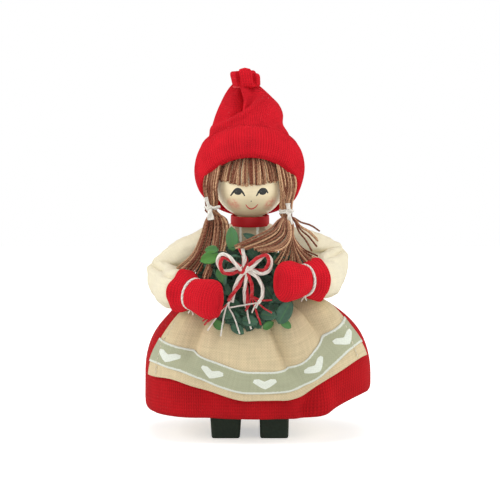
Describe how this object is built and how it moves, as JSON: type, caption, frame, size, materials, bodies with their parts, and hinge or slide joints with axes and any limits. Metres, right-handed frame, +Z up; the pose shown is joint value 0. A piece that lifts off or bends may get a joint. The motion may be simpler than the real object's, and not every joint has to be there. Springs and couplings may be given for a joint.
{
  "type": "girl doll figurine",
  "caption": "Standing Nordic Christmas girl doll with wooden head and boots, knitted cap, yarn pigtails, linen apron and red skirt, holding a leaf wreath with a yarn bow.",
  "frame": {"origin": "middle of the doll's outline in plan, on the surface that its boots stand on", "axes": "+Z up, -Y the way the doll faces, +X towards its left hand"},
  "size_m": [0.1266, 0.1054, 0.2007],
  "materials": {
    "black_paint": "satin black paint",
    "bare_wood": "turned and sanded, unfinished",
    "painted_wood": "turned ball, satin lacquer, painted face",
    "wadding": "loose fibre filling",
    "cream_cotton": "crinkled plain weave",
    "red_rib": "fine rib knit",
    "red_knit": "fine rib knit",
    "beige_linen": "plain weave",
    "sage_ribbon": "woven ribbon with white hearts",
    "red_satin": "satin ribbon",
    "brown_yarn": "mixed brown and beige yarn",
    "white_yarn": "twisted yarn",
    "bow_yarn": "red and white twisted yarn",
    "leaf_green": "moulded leaf",
    "steel_wire": "drawn wire"
  },
  "bodies": {
    "doll": {"boot_left": "black_paint", "boot_right": "black_paint", "leg_left": "bare_wood", "leg_right": "bare_wood", "hip_disc": "bare_wood", "spine_dowel": "bare_wood", "base_board": "bare_wood", "torso": "cream_cotton", "skirt": "red_rib", "skirt_padding": "wadding", "apron": "beige_linen", "heart_band": "sage_ribbon", "waistband": "beige_linen", "bib": "beige_linen", "collar_ribbon": "red_satin"},
    "head": {"head_ball": "painted_wood", "fringe": "brown_yarn", "lock_left": "brown_yarn", "lock_right": "brown_yarn", "hair_tie_left": "white_yarn", "hair_tie_right": "white_yarn", "pigtail_left": "brown_yarn", "pigtail_right": "brown_yarn", "hat_crown": "red_knit", "hat_cuff": "red_knit", "hat_tuft": "red_knit", "tuft_tie": "white_yarn"},
    "arms": {"sleeve_left": "cream_cotton", "sleeve_right": "cream_cotton", "arm_wire": "steel_wire", "mitten_left": "red_knit", "mitten_right": "red_knit", "wrist_tie_left": "white_yarn", "wrist_tie_right": "white_yarn", "wreath_wire": "steel_wire", "sprig_1": "leaf_green", "sprig_2": "leaf_green", "sprig_3": "leaf_green", "sprig_4": "leaf_green", "sprig_5": "leaf_green", "sprig_6": "leaf_green", "bow_hitch": "bow_yarn", "bow_knot": "bow_yarn", "bow_loop_left": "bow_yarn", "bow_loop_right": "bow_yarn", "bow_tail_left": "bow_yarn", "bow_tail_right": "bow_yarn"}
  },
  "joints": [
    {"name": "head_turn", "type": "hinge", "parent": "doll", "child": "head", "pos_m": [-0.00351, 0.00768, 0.14038], "axis": [0, 0, 1], "range_deg": [-20, 20], "deforming": ["pigtail_left", "pigtail_right"]},
    {"name": "arms_lift", "type": "hinge", "parent": "doll", "child": "arms", "pos_m": [-0.00351, 0.00768, 0.108], "axis": [-1, 0, 0], "range_deg": [0, 18], "deforming": ["pigtail_left", "pigtail_right"]}
  ]
}
